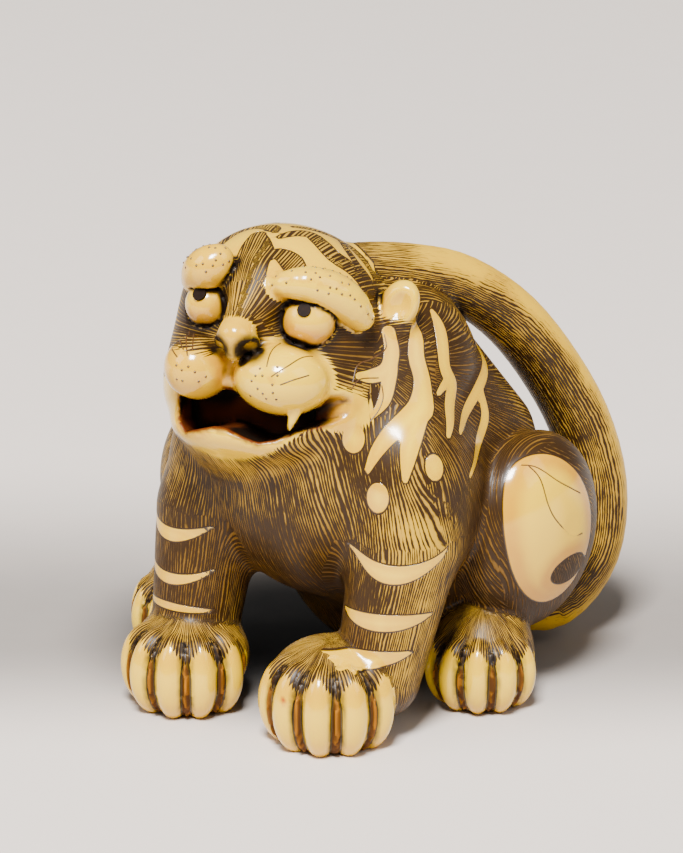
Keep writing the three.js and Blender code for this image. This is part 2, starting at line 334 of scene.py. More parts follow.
# A skin round a form: the grid is only fine near the skin.
def sampled(form, low, high, step, band, block=4, batches=12):
    counts = np.ceil((high - low) / (step * block)).astype(int)
    axes = [low[k] + step * block * np.arange(counts[k] + 1) for k in range(3)]
    coarse = form(np.stack(np.meshgrid(*axes, indexing="ij"), -1).reshape(-1, 3)).reshape(counts + 1)
    fine = coarse
    for k in range(3):
        spots = np.arange(counts[k] * block + 1) / block
        i = np.minimum(spots.astype(int), counts[k] - 1)
        t = (spots - i).reshape([-1 if j == k else 1 for j in range(3)])
        fine = np.take(fine, i, k) * (1 - t) + np.take(fine, i + 1, k) * t
    near = np.argwhere(np.abs(fine) < band)
    values = np.concatenate([form(low + step * part) for part in np.array_split(near, batches)])
    fine[tuple(near.T)] = values
    return fine


def skinned(values, low, step):
    cells = np.array(values.shape) - 1
    total, count, edges = np.zeros((*cells, 3)), np.zeros(cells), []
    for k in range(3):
        first, second = [slice(None)] * 3, [slice(None)] * 3
        first[k], second[k] = slice(0, -1), slice(1, None)
        a, b = values[tuple(first)], values[tuple(second)]
        crossing = (a < 0) != (b < 0)
        at = np.argwhere(crossing)
        spot = at.astype(float)
        spot[:, k] += a[crossing] / (a[crossing] - b[crossing])
        u, v = (k + 1) % 3, (k + 2) % 3
        corners = []
        for du, dv in ((-1, -1), (0, -1), (0, 0), (-1, 0)):
            cell = at.copy()
            cell[:, u] += du
            cell[:, v] += dv
            np.add.at(total, tuple(cell.T), spot)
            np.add.at(count, tuple(cell.T), 1)
            corners.append(cell)
        edges.append((corners, a[crossing] < 0))
    used = count > 0
    number = np.full(cells, -1)
    number[used] = np.arange(used.sum())
    spots = total[used] / count[used][:, None] * step + low
    quads = []
    for corners, outward in edges:
        quad = np.stack([number[tuple(cell.T)] for cell in corners], 1)
        quad[~outward] = quad[~outward][:, ::-1]
        quads.append(quad)
    return spots, np.concatenate(quads)


def solidMesh(name, spots, faces):
    mesh = bpy.data.meshes.new(name)
    mesh.from_pydata([tuple(spot) for spot in spots], [], [tuple(int(i) for i in face) for face in faces])
    mesh.polygons.foreach_set("use_smooth", np.ones(len(mesh.polygons), bool))
    mesh.update()
    piece = bpy.data.objects.new(name, mesh)
    bpy.context.scene.collection.objects.link(piece)
    return piece


# The pupil pins say where the carving's own axes lie in the frame.
gaze = np.array(faceForm["leftGaze"]) / np.linalg.norm(faceForm["leftGaze"])
pin = faceForm["pupil"]
eyeSpot, eyeRadius = faceForm["eyes"][0]
pinSpot = fromHead(np.array(eyeSpot) + gaze * (eyeRadius + pin["proud"] - pin["length"] / 2))
pinBox = np.array([list(corner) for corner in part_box("left_pupil")]) * 1000
frameShift = pinBox.mean(0) - pinSpot
print("frame shift", frameShift.round(3))

lowest, highest = (np.array(corner) * 1000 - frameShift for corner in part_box("tiger"))
step = sculptValues["step"]
gridLow, gridHigh = lowest - sculptValues["below"] * step, highest + sculptValues["above"] * step
grid = sampled(tigerForm, gridLow, gridHigh, step, sculptValues["band"])
skin, quads = skinned(grid, gridLow, step)
skin = onto(tigerForm, skin)
skin[:, 2] = np.maximum(skin[:, 2], 0)
print("tiger skin", len(skin), "points", len(quads) * 2, "triangles")

# What the carver drew: pale bands left bare, in millimetres.
bandDrawing = {
    # x, y, z and half width along each band
    "nape": [(5.0, 7.2, 24.7, 0.2), (5.3, 7.1, 23.7, 0.4), (5.8, 6.4, 22.5, 0.5), (6.6, 6.1, 21.2, 0.55),
             (7.3, 5.1, 20.2, 0.75), (7.3, 3.9, 19.7, 0.7), (6.8, 2.7, 19.0, 0.5), (6.4, 1.8, 18.0, 0.35),
             (6.1, 1.2, 16.8, 0.12)],
    "napeFork": [(7.5, 4.4, 19.8, 0.6), (7.9, 3.2, 18.6, 0.55), (8.1, 2.6, 17.6, 0.4),
                 (8.2, 2.2, 16.4, 0.12)],
    "shoulder": [(4.9, 9.4, 24.6, 0.15), (5.6, 9.1, 23.6, 0.4), (6.6, 8.2, 21.7, 0.4),
                 (7.1, 8.4, 20.4, 0.42), (8.2, 7.1, 19.5, 0.38), (9.0, 5.7, 18.5, 0.12)],
    "shoulderFork": [(6.9, 8.3, 20.9, 0.3), (7.3, 6.9, 20.5, 0.1)],
    "flank": [(4.6, 14.0, 21.8, 0.1), (5.7, 13.4, 20.4, 0.25), (6.9, 11.3, 19.6, 0.33),
              (7.7, 9.4, 18.9, 0.28), (9.0, 7.2, 18.4, 0.1)],
    "flankFork": [(7.0, 11.3, 19.4, 0.3), (7.8, 11.0, 18.0, 0.3), (8.7, 9.6, 17.0, 0.28),
                  (10.0, 6.9, 15.8, 0.08)],
    "cheek": [(4.3, 5.6, 24.0, 0.35), (5.0, 5.1, 23.1, 0.42), (5.2, 4.3, 22.2, 0.4),
              (4.9, 3.2, 22.0, 0.35), (4.6, 2.3, 22.2, 0.15)],
    "cheekFork": [(5.1, 4.8, 22.6, 0.4), (5.4, 4.3, 21.8, 0.4), (5.7, 3.4, 20.6, 0.32),
                  (5.6, 2.4, 19.8, 0.08)],
}
spotDrawing = [((5.1, 1.2, 18.7), 0.62), ((6.9, 1.2, 15.3), 0.62), ((9.3, 3.8, 17.1), 0.6)]
legDrawing = {   # height, middle angle, reach in degrees, half width and rise at the ends
    0: [(10.8, 28, 58, 0.5, 1.3), (7.85, 25, 62, 0.45, 0.25), (5.65, 22, 50, 0.4, 0.3)],
    1: [(10.75, -8, 50, 0.34, 0.8), (8.1, -5, 55, 0.27, 0.7), (6.45, 0, 60, 0.16, -0.2)],
}
# steps along a band, how flat the spots are, where a leg's bands can lie, and how far in the pale begins
bandValues = {"steps": 26, "spotFlat": 0.72, "legReach": 4.6, "legTop": 13, "endWidth": 0.05, "inset": 0.1}


def bandDistance(points):
    d = np.full(len(points), farAway)
    for name, route in bandDrawing.items():
        for side in (1, -1):
            if side < 0 and "cheek" in name:
                continue
            curve = smoothCurve(route, bandValues["steps"])
            curve[:, 0] *= side
            curve[:, :3] = onto(tigerForm, curve[:, :3], 3)
            close = np.abs(points - curve[:, :3].mean(0)).max(1) < farAway
            d[close] = np.minimum(d[close], chain(points[close], curve[:, :3], curve[:, 3]))
    for at, size in spotDrawing:
        d = np.minimum(d, np.linalg.norm((points - at) * (1, 1, bandValues["spotFlat"]), axis=1) - size)
    for leg, bands in legDrawing.items():
        x, y = legAxis(leg, points[:, 2])
        angle = np.degrees(np.arctan2(points[:, 0] - x, y - points[:, 1]))
        near = np.hypot(points[:, 0] - x, points[:, 1] - y) < bandValues["legReach"]
        own = near & (points[:, 2] < bandValues["legTop"])
        for height, middle, reach, width, rise in bands:
            s = (angle - middle) / reach
            band = np.abs(points[:, 2] - height - rise * s * s) - width * (1 - s * s)
            end = (np.abs(s) - 1) * reach * bandValues["endWidth"]
            band = np.where(own, np.maximum(band, end), farAway)
            d = np.minimum(d, band)
    return d


def headChain(points, route):
    curve = smoothCurve(route, foreheadPatch["steps"])
    curve[:, :3] = onto(tigerForm, fromHead(curve[:, :3]), 3)
    return chain(points, curve[:, :3], curve[:, 3])


# hatched bands on the pale forehead, in the head's axes, with half widths
foreheadDrawing = {
    "overBrow": [(-0.1, -5.5, 5.5, 0.05), (0.7, -4.6, 5.9, 0.45), (2.1, -5.2, 6.0, 0.7),
                 (3.1, -5.2, 5.9, 0.5), (4.2, -4.8, 5.4, 0.3), (5.2, -4.0, 4.9, 0.25)],
    "arch": [(0.1, -3.1, 6.8, 0.08), (0.8, -2.2, 7.1, 0.25), (1.6, -1.7, 7.2, 0.4), (2.4, -2.0, 6.8, 0.5),
             (3.4, -2.3, 6.1, 0.55), (4.5, -1.8, 5.6, 0.5), (5.5, -1.2, 4.6, 0.55),
             (6.1, -1.0, 3.2, 0.6)],
    "crown": [(0.3, -1.2, 7.4, 0.05), (1.7, -0.3, 7.5, 0.2), (3.1, 0.7, 6.9, 0.35), (4.2, 0.8, 6.2, 0.45),
              (5.2, 0.9, 5.3, 0.5), (5.9, 0.5, 4.2, 0.5)],
    "side": [(2.8, 0.3, 7.0, 0.08), (3.7, -0.5, 6.4, 0.2), (4.5, -0.8, 5.8, 0.2), (5.3, -0.4, 5.0, 0.1)],
    "back": [(1.2, 1.8, 7.5, 0.1), (3.0, 2.6, 6.9, 0.4), (4.6, 2.9, 6.0, 0.5), (5.9, 2.6, 4.4, 0.5)],
    "bridge": [(-1.3, -2.9, 6.6, 0.35), (-1.0, -4.9, 6.3, 1.0), (-0.9, -6.0, 5.3, 1.05),
               (-0.6, -6.5, 4.2, 0.95), (-0.35, -7.0, 3.2, 0.85), (-0.3, -7.4, 2.4, 0.6)],
    "rightArch": [(-4.0, -2.6, 6.0, 0.4), (-3.0, -1.6, 6.7, 0.3), (-1.9, -1.5, 7.1, 0.25),
                  (-0.9, -1.8, 7.2, 0.4), (-0.4, -2.5, 7.0, 0.08)],
    "rightCrown": [(-0.9, -0.4, 7.4, 0.05), (-2.2, 0.2, 7.3, 0.25), (-3.6, 0.6, 6.7, 0.4),
                   (-4.8, 0.8, 5.8, 0.45)],
}
# the pale forehead: its middle and half width, where it draws in towards the nape, and its foot;
# then how near the skin it lies, and how far the hatched bands keep from it
foreheadPatch = {"middle": -0.2, "halfWidth": 5.6, "backFrom": 1.5, "backReach": 3.2, "foot": 4.4,
                 "scale": 4, "skinReach": 0.3, "bandInset": 0.12, "steps": 24}
thighOval = {"at": (12.6, 11.0), "size": (3.5, 4.9), "tilt": 12, "skinReach": 0.35}   # back and up
thighPatch = {"at": (14.0, 8.2), "size": (1.7, 0.95)}


def foreheadDistance(points):
    p, patch = inHead(points), foreheadPatch
    across = np.abs(p[:, 0] - patch["middle"]) / patch["halfWidth"]
    behind = np.maximum(p[:, 1] - patch["backFrom"], 0) / patch["backReach"]
    pale = np.maximum(across + behind - 1, (patch["foot"] - p[:, 2]) / patch["scale"]) * patch["scale"]
    pale = np.maximum(pale, headForm(points) - patch["skinReach"])
    for route in foreheadDrawing.values():
        pale = np.maximum(pale, patch["bandInset"] - headChain(points, route))
    return pale


def thighDistance(points):
    tilt = math.radians(thighOval["tilt"])
    y, z = points[:, 1] - thighOval["at"][0], points[:, 2] - thighOval["at"][1]
    y, z = y * math.cos(tilt) + z * math.sin(tilt), z * math.cos(tilt) - y * math.sin(tilt)
    oval = egg(np.stack([y, z], 1), (0, 0), thighOval["size"])
    patch = egg(points[:, 1:], thighPatch["at"], thighPatch["size"])
    onThigh = (thighsForm(points) < thighOval["skinReach"]) & (points[:, 0] > 0)
    return np.where(onThigh, np.maximum(oval, -patch), farAway)


bands, forehead, thighReserve = bandDistance(skin), foreheadDistance(skin), thighDistance(skin)
reserve = np.minimum(bands - bandValues["inset"], np.minimum(forehead, thighReserve))
print("bands drawn")

# How hollow the surface is, measured at two reaches: it tells where painted shade darkens creases and
# recesses, and where stain gathers.
normals = slopeOf(tigerForm, skin)
normals /= np.maximum(np.linalg.norm(normals, axis=1, keepdims=True), 1e-6)


def hollowness(reach):
    return np.clip(1 - tigerForm(skin + normals * reach) / reach, 0, 1)


fineHollow = hollowness(sculptValues["lift"])
wideHollow = hollowness(sculptValues["wide"])

# Which mass each point belongs to, and the distances over which one gives way to the next.
massEdges = {"head": (0.4, -0.2), "mouth": (0.35, 0.1), "tail": (0.2, -0.2), "paw": (0.2, -0.2),
             "legHeight": (13.5, 11.0), "legReach": (5.0, 4.3), "mouthBack": -1.2}
face = inHead(skin)
headDistance, tailDistance = headForm(skin), tailMass(skin)
pawDistance, trunkDistance = pawsForm(skin), np.minimum(trunkMass(skin), thighsForm(skin))
isHead = smoothStep(*massEdges["head"], headDistance - np.minimum(trunkDistance, tailDistance))
inMouth = smoothStep(*massEdges["mouth"], mouthOpening(face)) * (face[:, 1] < massEdges["mouthBack"])
isHead = np.maximum(isHead, inMouth)
isTail = smoothStep(*massEdges["tail"], tailDistance - np.minimum(trunkDistance, headDistance))
isPaw = smoothStep(*massEdges["paw"], pawDistance - trunkDistance)
legNear, legAngle = np.full(len(skin), farAway), np.zeros(len(skin))
for leg in (0, 1):
    x, y = legAxis(leg, skin[:, 2])
    gap = np.hypot(skin[:, 0] - x, skin[:, 1] - y)
    legAngle = np.where(gap < legNear, np.arctan2(skin[:, 0] - x, y - skin[:, 1]), legAngle)
    legNear = np.minimum(legNear, gap)
isLeg = smoothStep(*massEdges["legHeight"], skin[:, 2]) * smoothStep(*massEdges["legReach"], legNear)

# The parts polished bare, measured outward from their edges.
polishValues = {
    # how far the polish reaches past each form, and how fast it ends
    "pad": (0.42, 2.2), "nose": (0.22, 5), "brow": (0.22, 5), "eye": (0.2, 5), "ear": (0.2, 4),
    "fang": (0.2, 5),
    "rightPad": {"side": -1.8, "top": -0.5, "slope": 1.6},
    "earFoot": {"height": 3.0, "slope": 1.3, "margin": 0.3},
    "chinAcross": (-4.6, -2.8, -0.9, 0.8, 2.4, 3.5, 4.1, 5.7),
    "chinHeight": (-5.4, -6.3, -6.7, -6.4, -5.8, -4.8, -4.1, -3.7),
    "lip": {"top": -2.6, "left": 4.4, "back": -2.2, "slope": 2.2, "margin": 0.35},
    "pouch": {"at": (5.6, -2.9), "flat": 1.25, "radius": 1.6, "back": -1.0, "slope": 2, "margin": 0.2},
    "toe": 2.2,
}


def polished(name, mass):
    reach, slope = polishValues[name]
    return (mass - reach) * slope


padMass = np.min([egg(face, *pad) for pad in faceForm["pads"]], 0)
noseParts = (faceForm["nose"], faceForm["septum"], *faceForm["wings"])
noseMass = np.min([egg(face, *part) for part in noseParts], 0)
browMass = np.min([chain(face, curve[:, :3], curve[:, 3]) for curve in browCurves], 0)
eyeAway = [np.linalg.norm(face - np.array(centre), axis=1) - radius for centre, radius in faceForm["eyes"]]
eyeMass = np.min(eyeAway, 0)
earMass = np.min([egg(face, at, size, angles) for at, size, angles, cup in faceForm["ears"]], 0)
fangMass = limb(face, *faceForm["fang"])
chinLine = np.interp(face[:, 0], polishValues["chinAcross"], polishValues["chinHeight"])
lip, pouch = polishValues["lip"], polishValues["pouch"]
lipMass = np.max([chinLine - face[:, 2], face[:, 2] - lip["top"], face[:, 0] - lip["left"],
                  face[:, 1] - lip["back"]], 0)
pouchRim = np.linalg.norm((face[:, [0, 2]] - pouch["at"]) * (1, pouch["flat"]), axis=1) - pouch["radius"]
pouchRim = np.where(face[:, 1] < pouch["back"], pouchRim, farAway)
rightPad, earFoot = polishValues["rightPad"], polishValues["earFoot"]
padTop = (face[:, 2] - rightPad["top"]) * rightPad["slope"]
padBare = np.maximum(polished("pad", padMass), np.where(face[:, 0] < rightPad["side"], padTop, -farAway))
earTop = (earFoot["height"] - face[:, 2]) * earFoot["slope"] - earFoot["margin"]
earBare = np.maximum(polished("ear", earMass), earTop)
lipBare = lipMass * lip["slope"] - lip["margin"]
pouchBare = pouchRim * pouch["slope"] - pouch["margin"]
bareEdge = np.min([padBare, earBare, lipBare, pouchBare, polished("nose", noseMass),
                   polished("brow", browMass), polished("eye", eyeMass), polished("fang", fangMass)], 0)

# Paws: pale toes, with a spindle of amber between two cut lines in each gap. Fans are in degrees.
gapValues = {
    "half": 0.27, "least": 0.02, "narrows": (2.3, 0.0), "top": 2.0, "topSlope": 0.6, "fan": 95,
    "toeTop": 1.75, "toeRise": 0.5, "toeFan": 98, "pawHalf": (4.4, 5), "hairFan": 1.1,
}
gapEdge, toeTop = np.full(len(skin), farAway), np.full(len(skin), farAway)
for at, yaw, size in pawForm["places"]:
    p = (skin - np.array(at)) @ turned((yaw, 0, 0)) / size
    fan = np.degrees(np.arctan2(p[:, 0], pawForm["centre"] - p[:, 1]))
    wide, deep = gapValues["pawHalf"]
    own = (np.abs(p[:, 0]) < wide) & (np.abs(p[:, 1]) < deep) & (isPaw > 0.3)
    ring = np.hypot(p[:, 0], pawForm["centre"] - p[:, 1])
    fromGap = (fan + 720) % pawForm["fan"] - pawForm["fan"] / 2   # two whole turns keep it above 0
    spread = gapValues["half"] * smoothStep(*gapValues["narrows"], p[:, 2]) + gapValues["least"]
    spindle = np.abs(np.radians(fromGap)) * np.maximum(ring, 1) - spread
    spindle = np.maximum(spindle, (p[:, 2] - gapValues["top"]) * gapValues["topSlope"])
    spindle = np.where(np.abs(fan) < gapValues["fan"], spindle, farAway)
    gapEdge = np.where(own, spindle * size, gapEdge)
    onToe = np.cos(np.radians(fan / pawForm["fan"] * 360))
    rise = gapValues["toeRise"]
    top = p[:, 2] - gapValues["toeTop"] + rise * np.abs(fan) / 90 - rise * onToe
    toeTop = np.where(own, np.where(np.abs(fan) < gapValues["toeFan"], top, 1.0), toeTop)
    own = own & (isPaw > 0.5)
    legAngle[own] = np.radians(fan[own]) * gapValues["hairFan"]
bareEdge = np.minimum(bareEdge, toeTop * polishValues["toe"])

# Hair: even steps of the first value lie side by side across it, the second says how far its lines
# have spread, and the third runs along it.
hairValues = {
    # where hairs fan out from, each fan with the distance that spreads it once, and fans that never spread
    "above": (-1.0, 3.5, 40.0), "crown": (-1.5, 3.5, 23.0), "face": (-0.4, 0.4),
    "front": (27, 19), "side": (12, 8.5), "head": (5, 3.6),
    "leg": 3.1, "tail": 2.0, "even": 1.4,
    "starts": {"side": 25, "leg": 45, "head": 70, "tail": 95},   # so that no two parts share a pattern
    "sideFacing": (0.5, 0.7), "sideBack": (2.0, 5.0), "headFoot": (-4.6, -3.4), "tailSide": (1.0, 0.1, 0),
}
starts = hairValues["starts"]
q = skin - np.array(hairValues["above"])
away = np.hypot(q[:, 1], q[:, 2])
fan, spreadAt = hairValues["front"]
frontHair = np.stack([np.arctan2(q[:, 0], away) * fan, away / spreadAt, np.linalg.norm(q, axis=1)], 1)
q = skin - np.array(hairValues["crown"])
away = np.hypot(q[:, 1], q[:, 2])
fan, spreadAt = hairValues["side"]
run = np.linalg.norm(q, axis=1) + starts["side"]
sideHair = np.stack([np.arctan2(-q[:, 2], q[:, 1]) * fan, away / spreadAt, run], 1)
sideMask = smoothStep(*hairValues["sideFacing"], np.abs(normals[:, 0]))
sideMask *= smoothStep(*hairValues["sideBack"], skin[:, 1])
even = np.full(len(skin), hairValues["even"])
ownHair = np.stack([legAngle * hairValues["leg"], even, skin[:, 2] + starts["leg"]], 1)
radial = face[:, [0, 2]] - np.array(hairValues["face"])
ring = np.linalg.norm(radial, axis=1)
turn = np.arctan2(radial[:, 0], -radial[:, 1])
fan, spreadAt = hairValues["head"]
headHair = np.stack([turn * fan, ring / spreadAt, np.hypot(ring, face[:, 1]) + starts["head"]], 1)
onHead = isHead > 0.02
ownHair[onHead] = headHair[onHead]
headOwn = isHead * smoothStep(*hairValues["headFoot"], face[:, 2])
tailSpots = tailRoute[:, :3]
nearTail = [((part[:, None] - tailSpots[None]) ** 2).sum(-1).argmin(1) for part in np.array_split(skin, 40)]
nearTail = np.concatenate(nearTail)
tangents = np.gradient(tailSpots, axis=0)
tangents /= np.linalg.norm(tangents, axis=1, keepdims=True)
arc = np.concatenate([[0], np.cumsum(np.linalg.norm(np.diff(tailSpots, axis=0), axis=1))])
offset = skin - tailSpots[nearTail]
forward = (offset * tangents[nearTail]).sum(1)
offset -= forward[:, None] * tangents[nearTail]
tailSide = np.array(hairValues["tailSide"])
sides = tailSide - (tangents @ tailSide)[:, None] * tangents
sides /= np.linalg.norm(sides, axis=1, keepdims=True)
ups = np.cross(tangents, sides)
tailAngle = np.arctan2((offset * sides[nearTail]).sum(1), (offset * ups[nearTail]).sum(1))
tailPlace = arc[nearTail] + forward
onTail = isTail > 0.02
ownHair[onTail] = np.stack([tailAngle * hairValues["tail"], even, tailPlace + starts["tail"]], 1)[onTail]
ownMask = np.max([headOwn, isTail, isLeg, isPaw], 0)
print("hair directions set")


# Stain and warmth, laid in broad patches, some of them painted light: x, y, z, reach and amount.
def patches(points, spots):
    total = np.zeros(len(points))
    for *at, reach, amount in spots:
        total += amount * np.exp(-((points - at) ** 2).sum(1) / reach ** 2)
    return total


# on the body, the dark patch low on the left hind leg by its paw is painted shade and the pale patch on the
# outer left shoulder a painted highlight; the rest is stain
bodyStainShadeAndHighlight = [(10.5, 1.5, 12.0, 4.0, -0.38), (9.8, 0.8, 6.5, 3.0, -0.3), (5.5, -1.8, 8.5, 3.2, 0.42),
             (-0.5, -1.5, 10.0, 5.0, 0.25), (3.0, 0.5, 7.0, 3.5, 0.35), (9.0, 9.0, 20.0, 5.0, 0.5),
             (9.5, 11.0, 14.0, 5.0, 0.55), (-6.5, -1.0, 9.0, 3.5, 0.36), (-1.0, -1.5, 15.0, 3.0, -0.1),
             (10.0, 10.0, 5.5, 4.0, 0.75)]
headStain = [(4.4, -5.1, 1.5, 1.3, 0.5), (5.8, -2.8, 1.2, 1.9, 0.65), (6.8, -1.1, 1.2, 1.4, 0.5),
             (-4.4, -4.2, 1.6, 1.2, 0.4), (-0.3, -7.2, 2.2, 1.0, 0.1), (6.2, -2.4, -2.8, 1.7, -0.45),
             (1.5, -7.0, 2.2, 0.8, 0.5), (-1.9, -6.3, 2.3, 0.8, 0.5)]
# an amount everywhere, then what hollows add, stain gathered there together with painted shade, and painted
# shade on the undersides; the tail is rubbed pale along its outer side
stainAndShadeValues = {
    "body": 1.0, "bodyHollow": 0.25, "under": 0.3, "tail": 0.95, "tailRubbed": 0.78, "tailFoot": 0.1,
    "head": 0.88, "headHollow": 0.2, "paw": 0.95, "pawTop": 0.1, "range": (0.05, 1.5),
    "underFacing": (0.0, -0.6), "rubbedSide": (1.9, 1.1), "rubbedUpTo": (38, 30), "footAt": (34, 40),
    "pawTopAt": (1.5, 3),
}
rubbed = smoothStep(*stainAndShadeValues["rubbedSide"], np.abs(tailAngle))
rubbed *= smoothStep(*stainAndShadeValues["rubbedUpTo"], tailPlace)
tailStain = stainAndShadeValues["tail"] - stainAndShadeValues["tailRubbed"] * rubbed
tailStain += stainAndShadeValues["tailFoot"] * smoothStep(*stainAndShadeValues["footAt"], tailPlace)
headTotal = stainAndShadeValues["head"] + stainAndShadeValues["headHollow"] * wideHollow + patches(face, headStain)
pawTotal = stainAndShadeValues["paw"] - stainAndShadeValues["pawTop"] * smoothStep(*stainAndShadeValues["pawTopAt"], toeTop)
stainAndShade = stainAndShadeValues["body"] + stainAndShadeValues["bodyHollow"] * wideHollow + patches(skin, bodyStainShadeAndHighlight)
# painted shade: faces turned downwards are darkened
stainAndShade += stainAndShadeValues["under"] * smoothStep(*stainAndShadeValues["underFacing"], normals[:, 2])
for total, share in ((tailStain, isTail), (headTotal, np.maximum(isHead - isTail, 0)), (pawTotal, isPaw)):
    stainAndShade = stainAndShade + (total - stainAndShade) * share

# warmth: the ivory's own amber, with painted shade that warms the hollows, the rims of the pale bands and
# of the thigh oval, and the lower half of each eye
amberValues = {
    "body": 0.3, "bodyHollow": 0.6, "behind": 0.45, "tail": 0.5, "thigh": 0.24, "thighRim": 0.9,
    "band": 0.1, "bandHollow": 0.3, "bandRim": 0.6, "head": 0.23, "headHollow": 0.7, "eyeFoot": 0.75,
    "paw": 0.18, "pawEnds": 0.5, "behindAt": (5, 12), "thighRimAt": (-1.4, -0.1), "bandRimAt": (-0.7, 0.0),
    "eyeFootAt": (0.5, -1.3), "pawMiddle": 2.2, "pawEndsAt": (0.5, 2.2),
}
# painted shade: each eye warms towards its lower half
eyeLowerShade = np.max([smoothStep(*amberValues["eyeFootAt"], face[:, 2] - centre[2]) * (away < 0.2)
                  for away, (centre, radius) in zip(eyeAway, faceForm["eyes"])], 0)
amber = amberValues["body"] + amberValues["bodyHollow"] * wideHollow
amber += amberValues["behind"] * smoothStep(*amberValues["behindAt"], skin[:, 1])
amber = amber + (amberValues["tail"] - amber) * isTail
# painted shade: the rim of the pale thigh oval is warmed
thighRim = smoothStep(*amberValues["thighRimAt"], thighReserve)
amber = np.where(thighReserve < 0.1, amberValues["thigh"] + amberValues["thighRim"] * thighRim, amber)
drawn = np.minimum(bands, forehead)
bandAmber = amberValues["band"] + amberValues["bandHollow"] * wideHollow
# painted shade: the rims of the pale bands are warmed
bandAmber += amberValues["bandRim"] * smoothStep(*amberValues["bandRimAt"], drawn)
amber = np.where(drawn < 0.1, bandAmber, amber)
faceAmber = [(-1.1, -6.5, -0.6, 0.45, 0.6), (-1.2, -6.1, -1.4, 0.5, 0.7), (-1.3, -5.6, -2.4, 0.5, 0.7),
             (-1.2, -5.3, -3.2, 0.6, 0.5), (5.6, -3.6, -3.6, 0.9, 0.5), (6.3, -3.0, -2.3, 0.7, 0.5),
             (-3.6, -5.6, -4.4, 0.8, 0.5), (5.2, -4.1, 0.3, 1.0, 0.3)]
headAmber = amberValues["head"] + amberValues["headHollow"] * wideHollow + amberValues["eyeFoot"] * eyeLowerShade
amber = np.where((isHead > 0.5) & (drawn > 0), headAmber + patches(face, faceAmber), amber)
pawEnds = smoothStep(*amberValues["pawEndsAt"], np.abs(skin[:, 2] - amberValues["pawMiddle"]))
amber = np.where(isPaw > 0.5, amberValues["paw"] + amberValues["pawEnds"] * pawEnds, amber)
amber, stainAndShade = np.clip(amber, 0, 1), np.clip(stainAndShade, *stainAndShadeValues["range"])

# the red-brown of the open mouth, which fades in its left corner and is kept off the pads and the fang,
# and painted shade, near black, in the nostrils and in the groove under each lid
shadeValues = {
    "cornerAt": (4.6, 5.8), "cornerFade": 0.8, "padClear": (0.04, 0.2), "fangClear": (0.02, 0.2),
    "nostrilGrowth": 0.4, "nostrilAt": (0.35, -0.15), "noseClear": (-0.2, 0.15), "noseInset": 0.18,
    "lid": 0.85, "lidAt": (1.1, 0.1), "eyeClear": (0.02, 0.06), "browClear": (0.0, 0.15),
}
corner = smoothStep(*shadeValues["cornerAt"], face[:, 0])
mouthDepth = inMouth * (1 - shadeValues["cornerFade"] * corner)
mouthDepth *= smoothStep(*shadeValues["padClear"], padMass)
mouthDepth *= smoothStep(*shadeValues["fangClear"], fangMass)
nostrils = [egg(face, at, np.add(size, shadeValues["nostrilGrowth"]), angles)
            for at, size, angles in faceForm["nostrils"]]
shade = isHead * smoothStep(*shadeValues["nostrilAt"], np.min(nostrils, 0))
shade *= smoothStep(*shadeValues["noseClear"], noseMass + shadeValues["noseInset"])
lidShade = shadeValues["lid"] * smoothStep(*shadeValues["lidAt"], eyeMass)
lidShade *= smoothStep(*shadeValues["eyeClear"], eyeMass)
lidShade *= smoothStep(*shadeValues["browClear"], browMass)
shade = np.maximum(shade, isHead * lidShade)

boxMargin = 0.002
low, high = (np.array(corner) * 1000 - frameShift for corner in cadBox)
skin = np.clip(skin, low + boxMargin, high - boxMargin)
# a small red mark on a left toe
fleckStroke, fleckSoft = ((4.4, -4.9, 4.2), (4.45, -4.9, 3.6), 0.05, 0.05), (0.16, 0.06)
fleck = smoothStep(*fleckSoft, limb(skin, *fleckStroke))

tiger = solidMesh("tiger_carving", (skin + frameShift) / 1000, quads)


def keep(piece, name, values):
    vector = values.ndim == 2
    layer = piece.data.attributes.new(name, "FLOAT_VECTOR" if vector else "FLOAT", "POINT")
    layer.data.foreach_set("vector" if vector else "value", values.astype(np.float32).ravel())


for name, values in {
    "reserve": reserve, "bareEdge": bareEdge, "stainAndShade": stainAndShade, "amber": amber, "gapEdge": gapEdge,
    "fineHollow": fineHollow, "wideHollow": wideHollow, "mouthDepth": mouthDepth, "shade": shade,
    "fleck": fleck, "frontHair": frontHair, "sideHair": sideHair, "ownHair": ownHair,
    "sideMask": sideMask, "ownMask": ownMask,
}.items():
    keep(tiger, name, values)


def tint(*colour):
    shares = [c / 255 for c in colour]
    return tuple(s / 12.92 if s <= 0.04045 else ((s + 0.055) / 1.055) ** 2.4 for s in shares) + (1,)


def feed(tree, socket, value):
    if isinstance(value, bpy.types.NodeSocket):
        tree.links.new(value, socket)
    elif value is not None:
        socket.default_value = value


def calc(tree, operation, *values):
    node = tree.nodes.new("ShaderNodeMath")
    node.operation = operation
    for socket, value in zip(node.inputs, values):
        feed(tree, socket, value)
    return node.outputs[0]


def fade(tree, value, low, high, start=0.0, end=1.0):
    node = tree.nodes.new("ShaderNodeMapRange")
    node.interpolation_type = "SMOOTHSTEP"
    for socket, number in zip(node.inputs, (value, low, high, start, end)):
        feed(tree, socket, number)
    return node.outputs[0]


def mixed(tree, factor, first, second):
    node = tree.nodes.new("ShaderNodeMix")
    node.data_type = "RGBA"
    feed(tree, node.inputs[0], factor)
    feed(tree, node.inputs[6], first)
    feed(tree, node.inputs[7], second)
    return node.outputs[2]


def mixedValue(tree, factor, first, second):
    node = tree.nodes.new("ShaderNodeMix")
    feed(tree, node.inputs[0], factor)
    feed(tree, node.inputs[2], first)
    feed(tree, node.inputs[3], second)
    return node.outputs[0]


def read(tree, name, output="Fac"):
    node = tree.nodes.new("ShaderNodeAttribute")
    node.attribute_name = name
    return node.outputs[output]


